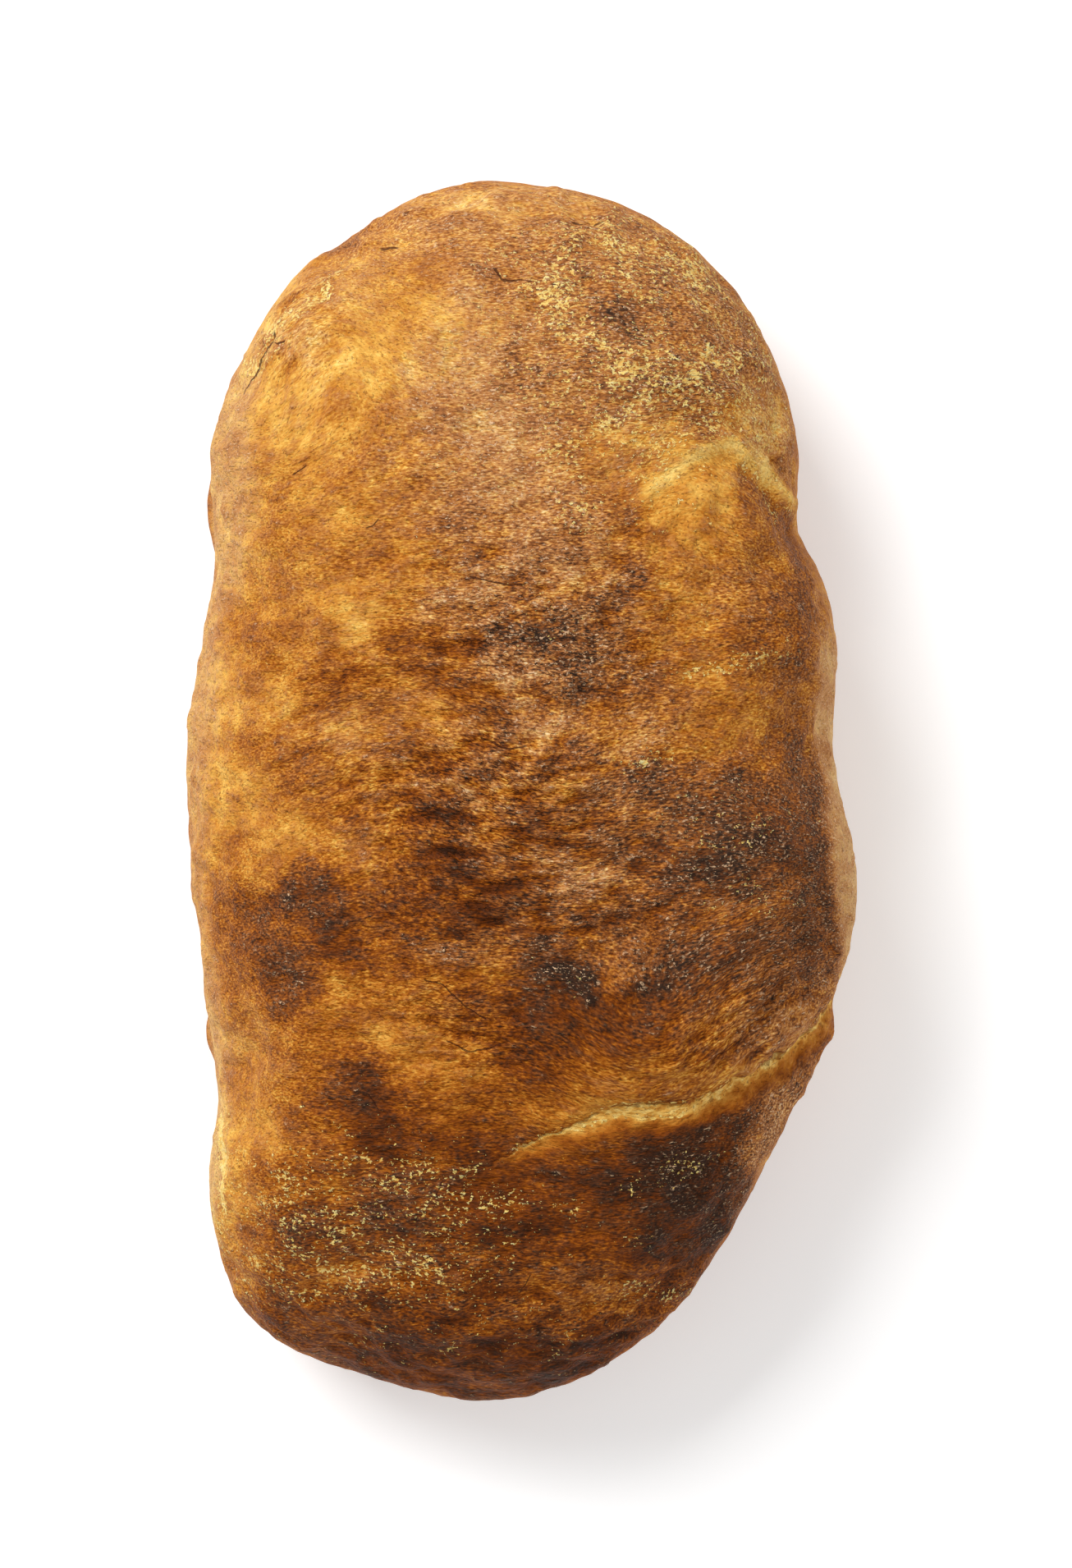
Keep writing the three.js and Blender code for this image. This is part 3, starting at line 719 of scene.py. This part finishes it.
def lay_strokes(skin, lumps, ridges):
    """The bake and the bloom of the strokes. What stands out is baked more. The wrinkles' creases are darker
    and less bloomed, as painted shade, and the ridges between them paler and more bloomed, partly bloom and
    partly a painted highlight."""
    bake = np.full(len(skin.points), BARE_BAKE)
    bloom = np.full(len(skin.points), BARE_BLOOM)
    strayed = skin.strayed(6.0)
    for *ellipse, to_bake, to_bloom in STROKES:
        cover = patch(strayed, *ellipse)
        move_toward(bake, to_bake, cover)
        move_toward(bloom, to_bloom, cover)
    lower_lobe = smooth_step(skin.x, 50, 72) * bump(skin.y, -72, 34)
    # Painted shade in the creases and painted highlight on the ridges.
    bake += 0.035 * lumps - 0.17 * ridges
    bloom += 0.40 * ridges + 0.30 * lower_lobe
    return bake, bloom


def paint_flanks(skin, bake, bloom):
    """The flanks rose late and stayed pale: golden on the left, and greyish low on the right. The result is
    how pale each place is."""
    greyish = smooth_step(skin.x, 40, 70) * bump(skin.y, -18, 50)
    elsewhere = (1 - skin.left) * (1 - greyish)
    edge = 0.42 + skin.left * (0.16 * bump(skin.y, 92, 42) - 0.04)
    lean = skin.lean + 0.06 * skin.wander[:, 0]
    pale = smooth_step(lean, edge, edge - 0.14 - 0.22 * elsewhere) * skin.off_base
    top_end = smooth_step(skin.y, 130, 160)
    flank_bake = 0.14 + (0.18 + 0.14 * top_end) * elsewhere + 0.05 * skin.wander[:, 1]
    flank_bloom = 0.60 - 0.35 * smooth_step(skin.y, 20, 90) + 0.40 * greyish
    move_toward(bake, flank_bake, pale * (0.60 + 0.30 * np.maximum(skin.left, greyish)))
    move_toward(bloom, flank_bloom, pale * 0.8)

    rim = Beside(LEFT_RIM, skin.strayed(1.2))
    left_rim = smooth_step(rim.offset, 3.0, -3.0) * rim.shown((0, 22), (0, 22)) * skin.off_base * skin.left
    waist = bump(skin.y, -22, 28)
    low_end = smooth_step(skin.y, -76, -92)
    move_toward(bake, 0.255 + 0.045 * waist - 0.08 * low_end, left_rim * 0.9)
    move_toward(bloom, 0.76 - 0.16 * waist, left_rim)

    rim = Beside(RIGHT_RIM, skin.strayed(1.2))
    right_rim = smooth_step(rim.offset, -1.6, 2.2) * rim.shown((-4, 14), (-4, 10)) * skin.off_base
    right_rim *= smooth_step(skin.x, 50, 70)
    move_toward(bake, 0.22, right_rim * 0.85)
    move_toward(bloom, 1.10, right_rim)
    return np.maximum(pale, np.maximum(left_rim, right_rim))


def paint_foot(skin, bake, bloom):
    """The foot, its tabs and the base, which baked on the hearth."""
    low_down = smooth_step(skin.points[:, 2], FOOT_TOP + 4, FOOT_TOP - 6) * (1 - skin.base)
    tabs = np.zeros(len(skin.points))
    for middle, half_length, _ in FOOT_TABS:
        tabs = np.maximum(tabs, bump(skin.y, middle, half_length) * skin.left * low_down)
    move_toward(bake, 0.46, low_down * 0.6)
    move_toward(bake, 0.56, tabs)
    move_toward(bloom, 0.10, tabs)
    move_toward(bake, 0.62, skin.base)
    move_toward(bloom, 0.75, skin.base)


def paint_upper_fold(skin, bake, bloom):
    """The pale arch of the upper fold, partly paler crust and partly a painted highlight along its ridge,
    the gold below it, and the dark crest of the lobe under it.
    """
    fold = Beside(UPPER_FOLD, skin.strayed(0.72))
    shown = fold.shown((-4, 6), (-6, 8)) * skin.crown
    arch = bump(fold.offset, -1.4, 2.6) * shown
    below = bump(fold.offset, 2.2, 2.4) * shown
    # The arch is paler crust and, in part, a painted highlight along the fold's ridge.
    move_toward(bake, 0.05, arch * 0.95)
    move_toward(bloom, 0.0, arch)
    move_toward(bake, 0.36, below * 0.6)
    move_toward(bloom, 0.0, below)
    crest = Beside(CREST, skin.strayed(0.9))
    dark = bump(crest.offset, 0, 3.0) * crest.shown((-4, 6), (0, 40)) * skin.crown
    move_toward(bake, 0.68, dark * 0.8)
    move_toward(bloom, 0.50, dark * 0.8)


def lower_fold_lines(skin):
    """The lower fold, for the material to draw: how far beyond its lip, how wide its strip is, how much of
    it shows, and how crumbly the lip and the strip's far side are."""
    fold = Beside(LOWER_FOLD, skin.strayed(0.3))
    shown = fold.shown((-12, 0), (-4, 14)) * skin.crown
    return {
        "seam": np.clip(fold.offset, -FAR, FAR),
        "seam_width": np.interp(fold.reach, *np.array(STRIP_WIDTHS).T),
        "seam_shown": shown,
        "seam_lip": smooth_step(fold.reach, 36, 50) * smooth_step(fold.reach, 88, 76) * shown,
        "seam_ridge": smooth_step(fold.reach, 46, 62) * shown,
    }


def crack_lines(skin):
    """The cracks, for the material to draw: how far from the nearest, in half-widths, and how far inside its
    ends, in mm."""
    offsets = np.full(len(skin.points), NO_CRACK)
    inside = np.full(len(skin.points), BEYOND_ENDS)
    for width, path in CRACKS:
        crack = Beside(path, skin.plan)
        from_ends = crack.from_ends()
        nearest = (np.abs(crack.offset / width) < np.abs(offsets)) & (from_ends > -4)
        offsets[nearest] = crack.offset[nearest] / width
        inside[nearest] = from_ends[nearest]
    return {"crack": offsets, "crack_inside": inside - 5 * (1 - skin.crown)}


def cover_level(share):
    """What's added to noise that spreads by about 1, so that a given share of it comes out above 0."""
    share = np.clip(share, 0.001, 0.95)
    return np.log(share / (1 - share)) / 1.7


def flour_levels(skin):
    """The flour, and the thread of it on the left flank, for the material to draw."""
    flour = np.full(len(skin.points), BARE_FLOUR)
    strayed = skin.strayed(3.0)
    for *ellipse, amount in FLOUR_STROKES:
        move_toward(flour, amount, patch(strayed, *ellipse))
    flour *= 0.5 + 0.5 * np.maximum(skin.crown, skin.base)
    thread = Beside(FLOUR_THREAD, skin.plan)
    return {
        "flour": cover_level(1.1 * flour),
        "thread": np.clip(thread.offset, -FAR, FAR),
        "thread_shown": thread.shown((-1, 2), (-1, 12)) * smooth_step(skin.lean, -0.1, 0.1),
    }


def paint(skin, lumps, ridges):
    """The attributes that the crust's material reads, by name."""
    bake, bloom = lay_strokes(skin, lumps, ridges)
    pale = paint_flanks(skin, bake, bloom)
    paint_foot(skin, bake, bloom)
    paint_upper_fold(skin, bake, bloom)
    # Bloomed, wrinkled and well baked crust is grainy. Pale and charred crust is smooth.
    grainy = 0.18 + 0.46 * bloom + 0.18 * skin.wrinkled - 0.50 * pale
    grainy += 0.42 * smooth_step(bake, 0.25, 0.55) - 0.32 * smooth_step(bake, 0.62, 0.92)
    painted = {"bake": bake, "bloom": bloom, "grainy": np.clip(grainy, 0.12, 1.3), "wrinkled": skin.wrinkled}
    return painted | lower_fold_lines(skin) | crack_lines(skin) | flour_levels(skin)


# ---------------------------------------------------------------- the crust's material


def linear(colour):
    """A colour given as display values from 0 to 255, as a linear RGBA colour."""
    values = [c / 255 for c in colour]
    return [c / 12.92 if c <= 0.04045 else ((c + 0.055) / 1.055) ** 2.4 for c in values] + [1.0]


class Nodes:
    """A short way to write a material's nodes: each method adds one or more and gives the output socket."""

    def __init__(self, name):
        self.material = bpy.data.materials.new(name)
        self.material.use_nodes = True
        self.tree = self.material.node_tree
        self.shader = self.tree.nodes["Principled BSDF"]

    def add(self, kind, inputs, **settings):
        node = self.tree.nodes.new("ShaderNode" + kind)
        for name, value in settings.items():
            setattr(node, name, value)
        for name, value in inputs.items():
            self.feed(node.inputs[name], value)
        return node

    def feed(self, socket, value):
        if isinstance(value, bpy.types.NodeSocket):
            self.tree.links.new(value, socket)
        else:
            socket.default_value = value

    def math(self, operation, a, b=0.0, clamp=False):
        return self.add("Math", {0: a, 1: b}, operation=operation, use_clamp=clamp).outputs[0]

    def times(self, a, b, clamp=False):
        return self.math("MULTIPLY", a, b, clamp)

    def plus(self, value, factor, base):
        """value times a factor, plus a base."""
        return self.add("Math", {0: value, 1: factor, 2: base}, operation="MULTIPLY_ADD").outputs[0]

    def toward(self, value, target, share):
        """value, moved by a share of the way to the target."""
        return self.plus(self.math("SUBTRACT", target, value), share, value)

    def step(self, value, start, stop):
        """0 up to start and 1 from stop on, smooth between."""
        inputs = {"Value": value, "From Min": start, "From Max": stop}
        return self.add("MapRange", inputs, interpolation_type="SMOOTHSTEP").outputs["Result"]

    def within(self, value, centre, reach, edge):
        """1 while value is within reach of the centre either way, fading to 0 over the edge."""
        away = self.math("ABSOLUTE", self.math("SUBTRACT", value, centre))
        return self.step(away, reach + edge, reach)

    def attribute(self, name, output="Fac"):
        return self.add("Attribute", {}, attribute_name=name).outputs[output]

    def noise(self, vector, sizes, detail, roughness):
        """Noise that spreads by about 1 either way of 0, its features as large as sizes, in mm."""
        per_mm = [1 / size for size in sizes]
        stretched = self.add("VectorMath", {0: vector, 1: per_mm}, operation="MULTIPLY").outputs[0]
        inputs = {"Vector": stretched, "Scale": 1.0, "Detail": detail, "Roughness": roughness}
        fac = self.add("TexNoise", inputs).outputs["Fac"]
        return self.plus(fac, NOISE_GAIN, -NOISE_GAIN / 2)

    def mix(self, share, a, b):
        node = self.add("Mix", {}, data_type="RGBA", clamp_factor=True)
        sockets = [s for s in node.inputs if s.enabled]
        for socket, value in zip(sockets, (share, a, b)):
            self.feed(socket, value)
        return next(s for s in node.outputs if s.enabled)

    def stain(self, colour, share, stain):
        """A colour with a share of another, given as display values, mixed in."""
        return self.mix(share, colour, linear(stain))

    def ramp(self, fac, stops):
        node = self.add("ValToRGB", {"Fac": fac})
        elements = node.color_ramp.elements
        while len(elements) < len(stops):
            elements.new(0.5)
        for element, (at, colour) in zip(elements, stops):
            element.position = at
            element.color = linear(colour)
        return node.outputs["Color"]


class CrustNodes(Nodes):
    """The crust's nodes, with the places on the skin and the noises that its features share."""

    def __init__(self, name):
        super().__init__(name)
        self.place = self.attribute("place", "Vector")
        self.spot = self.attribute("spot", "Vector")
        self.patches = self.noise(self.place, *PATCHES)
        self.mottle = self.noise(self.place, *MOTTLE)
        self.speckle = self.noise(self.place, *SPECKLE)
        self.grain = self.noise(self.place, *GRAIN)
        # The wrinkles' creases: pressed in as bumps, and darkened in the tone as painted shade.
        creases = self.step(self.math("ABSOLUTE", self.noise(self.place, *CREASES)), 0.20, 0.0)
        self.creases = self.times(creases, self.attribute("wrinkled"))


def tone_and_film(n):
    """The bake and the bloom, broken up at the sizes of a patch, a mottle, a speckle and a grain, and
    darkened in the wrinkles' creases as painted shade.
    """
    fine = n.plus(n.grain, 0.120, n.times(n.speckle, 0.032))
    tone = n.plus(n.mottle, 0.022, n.plus(n.patches, 0.050, n.attribute("bake")))
    tone = n.plus(fine, n.attribute("grainy"), tone)
    # Painted shade: darker in the creases.
    tone = n.plus(n.creases, 0.20, tone)
    film = n.plus(n.attribute("bloom"), 1.05, -0.03)
    for texture, amount in ((n.patches, 0.10), (n.mottle, 0.12), (n.speckle, 0.10)):
        film = n.plus(texture, amount, film)
    return tone, film


def lower_fold(n, tone, film):
    """The lower fold: a crumbly lip with a painted shadow line under it, a gold strip, and a reddish edge
    beyond it. The results are the tone and the film with the strip and its edge, the crumbs and the painted
    shadow line."""
    shown = n.attribute("seam_shown")
    ridge = n.attribute("seam_ridge")
    seam = n.plus(n.noise(n.place, *LINE_WANDER), 0.28, n.attribute("seam"))
    beyond = n.math("SUBTRACT", seam, n.attribute("seam_width"))
    strip = n.times(n.times(n.step(seam, 0.0, 0.5), n.step(beyond, 0.9, -0.5)), shown)
    ember = n.times(n.times(n.step(beyond, -0.9, 0.3), n.step(beyond, 6.0, 1.6)), shown)
    ember_tone = n.plus(n.step(beyond, 0.0, 4.5), 0.30, n.plus(n.mottle, 0.05, 0.34))
    strip_tone = n.plus(n.speckle, 0.07, n.plus(n.mottle, 0.05, n.plus(ridge, -0.02, 0.16)))
    tone = n.toward(tone, ember_tone, n.times(ember, 0.9))
    tone = n.toward(tone, strip_tone, strip)
    film = n.toward(film, 0.05, n.math("MAXIMUM", strip, ember))
    lip = n.times(n.within(seam, -0.3, 0.2, 0.5), n.plus(n.attribute("seam_lip"), 0.3, 0.62))
    far_side = n.times(n.within(beyond, -0.4, 0.3, 0.5), ridge)
    crumbs = n.times(n.math("MAXIMUM", lip, far_side), shown)
    # A painted shadow line just under the lip, broken up by the patches.
    lip_shadow = n.times(n.within(seam, 0.5, 0.15, 0.35), shown)
    lip_shadow = n.times(lip_shadow, n.step(n.patches, -0.6, 0.6))
    return tone, film, crumbs, lip_shadow


def flour_thread(n):
    thread = n.plus(n.noise(n.place, *THREAD_WANDER), 0.12, n.attribute("thread"))
    return n.times(n.within(thread, 0.0, 0.4, 0.4), n.attribute("thread_shown"))


def scaled_highlighted_and_pored(n, colour, film):
    """The colour with light flecks where it's bloomed, partly scales of bloom and partly painted highlights,
    and small dark pores; and the flecks.
    """
    # Light flecks on the bloom, in part painted highlights.
    scales_and_highlights = n.step(n.noise(n.place, *SCALES_AND_HIGHLIGHTS), 0.9, 1.5)
    strength = n.times(n.step(film, 0.25, 1.1), n.plus(n.mottle, 0.14, 0.60))
    scales_and_highlights = n.times(scales_and_highlights, strength, clamp=True)
    colour = n.stain(colour, scales_and_highlights, SCALE_AND_HIGHLIGHT_COLOUR)
    pores = n.step(n.noise(n.place, *PORES), 1.4, 2.0)
    return n.stain(colour, n.times(pores, 0.50), PORE_COLOUR), scales_and_highlights


def floured(n, colour, crumbs):
    """The colour under ragged flecks of flour, and of crumbs; and the grains of both."""
    level = n.plus(crumbs, 3.3, n.plus(n.noise(n.spot, *CLUMPS), 0.4, n.attribute("flour")))
    grains = n.times(n.step(n.math("ADD", n.noise(n.spot, *FLECKS), level), 0.0, 0.4), 0.72)
    flour_colour = n.ramp(n.plus(n.grain, 0.14, n.plus(n.speckle, 0.10, 0.5)), FLOUR)
    cover = n.times(grains, n.plus(n.mottle, 0.10, 0.92), clamp=True)
    return n.mix(cover, colour, flour_colour), grains


def crack_line(n):
    """1 in a crack. Each wanders a little from its path."""
    crack = n.plus(n.noise(n.place, *LINE_WANDER), 0.45, n.attribute("crack"))
    inside = n.step(n.attribute("crack_inside"), 0.0, 0.8)
    return n.times(n.step(n.math("ABSOLUTE", crack), 1.0, 0.4), inside)


def crust_material():
    n = CrustNodes("baked_crust")
    tone, film = tone_and_film(n)
    tone, film, crumbs, lip_shadow = lower_fold(n, tone, film)
    colour = n.mix(film, n.ramp(tone, CLEAN_CRUST), n.ramp(tone, BLOOMED_CRUST))
    colour, scales_and_highlights = scaled_highlighted_and_pored(n, colour, film)
    colour, grains = floured(n, colour, n.math("MAXIMUM", crumbs, flour_thread(n)))
    cracks = crack_line(n)
    colour = n.stain(colour, n.times(cracks, 0.8), CRACK_COLOUR)
    # The painted shadow under the lower fold's lip.
    colour = n.stain(colour, n.times(lip_shadow, 0.55), LIP_SHADOW_COLOUR)

    # Bumps too fine for the skin's own points: how far each stands out, in mm.
    height = n.times(n.mottle, 0.12)
    for texture, amount in (
        (n.speckle, 0.06), (n.grain, 0.025), (n.creases, -0.25), (grains, 0.16), (scales_and_highlights, 0.10),
        (cracks, -0.5), (lip_shadow, -0.35),
    ):
        height = n.plus(texture, amount, height)
    bumps = n.add("Bump", {"Height": height, "Strength": 1.0, "Distance": MM})
    n.feed(n.shader.inputs["Base Color"], colour)
    n.feed(n.shader.inputs["Roughness"], n.plus(grains, 0.2, n.plus(film, 0.1, 0.58)))
    n.feed(n.shader.inputs["Normal"], bumps.outputs[0])
    n.feed(n.shader.inputs["Specular IOR Level"], CRUST_SHINE)
    return n.material


# ---------------------------------------------------------------- build

low, high = (np.array(corner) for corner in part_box("loaf"))
skin = Skin(*cast_skin(rounded_form(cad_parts["loaf"]), low, high))
lumps, relief, ridges = crust_relief(skin)
points = press_folds(skin) + skin.normals * (lumps + relief)[:, None]
points[:, 2] = np.maximum(points[:, 2], 0)

mesh = bpy.data.meshes.new("crust")
mesh.from_pydata((points * MM).tolist(), [], skin.faces.tolist())
mesh.shade_smooth()
for name, values in paint(skin, lumps, ridges).items():
    attribute = mesh.attributes.new(name, "FLOAT", "POINT")
    attribute.data.foreach_set("value", values.astype(np.float32))
for name, vectors in (("place", skin.laid), ("spot", skin.points)):
    attribute = mesh.attributes.new(name, "FLOAT_VECTOR", "POINT")
    attribute.data.foreach_set("vector", vectors.astype(np.float32).ravel())
uv = mesh.uv_layers.new(name="OFBake")
uv.data.foreach_set("uv", chart_places(points, skin).astype(np.float32).ravel())
crust = bpy.data.objects.new("crust", mesh)
bpy.context.scene.collection.objects.link(crust)
crust.data.materials.append(crust_material())
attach(crust, "root")
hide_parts("loaf")

# ---------------------------------------------------------------- the room

paper = Nodes("pale_floor")
for name, value in FLOOR_FINISH.items():
    paper.feed(paper.shader.inputs[name], value)
corners = [(x * FLOOR_REACH, y * FLOOR_REACH, 0) for x, y in ((-1, -1), (1, -1), (1, 1), (-1, 1))]
floor_mesh = bpy.data.meshes.new("floor")
floor_mesh.from_pydata(corners, [], [(0, 1, 2, 3)])
floor_mesh.materials.append(paper.material)
floor = bpy.data.objects.new("floor", floor_mesh)
bpy.context.scene.collection.objects.link(floor)

for name, place, size, power in SOFT_LAMPS:
    lamp = bpy.data.lights.new(name, "AREA")
    lamp.size = size
    lamp.energy = power
    holder = bpy.data.objects.new(name, lamp)
    holder.location = place
    holder.rotation_euler = (LOOK_AT - Vector(place)).to_track_quat("-Z", "Y").to_euler()
    bpy.context.scene.collection.objects.link(holder)

world = bpy.data.worlds.new("studio")
world.use_nodes = True
world.node_tree.nodes["Background"].inputs["Color"].default_value = (1, 1, 1, 1)
world.node_tree.nodes["Background"].inputs["Strength"].default_value = ROOM_LIGHT
bpy.context.scene.world = world
bpy.context.scene.view_settings.view_transform = "Standard"

# The camera looks straight down from far enough that the loaf's length fills its share of the picture.
lens = bpy.data.cameras.new("camera")
lens.lens = LENS
lens.sensor_width = SENSOR
camera = bpy.data.objects.new("camera", lens)
camera.location = (*AIM, RIM_LEVEL + VIEW_DISTANCE)
bpy.context.scene.collection.objects.link(camera)
bpy.context.scene.camera = camera
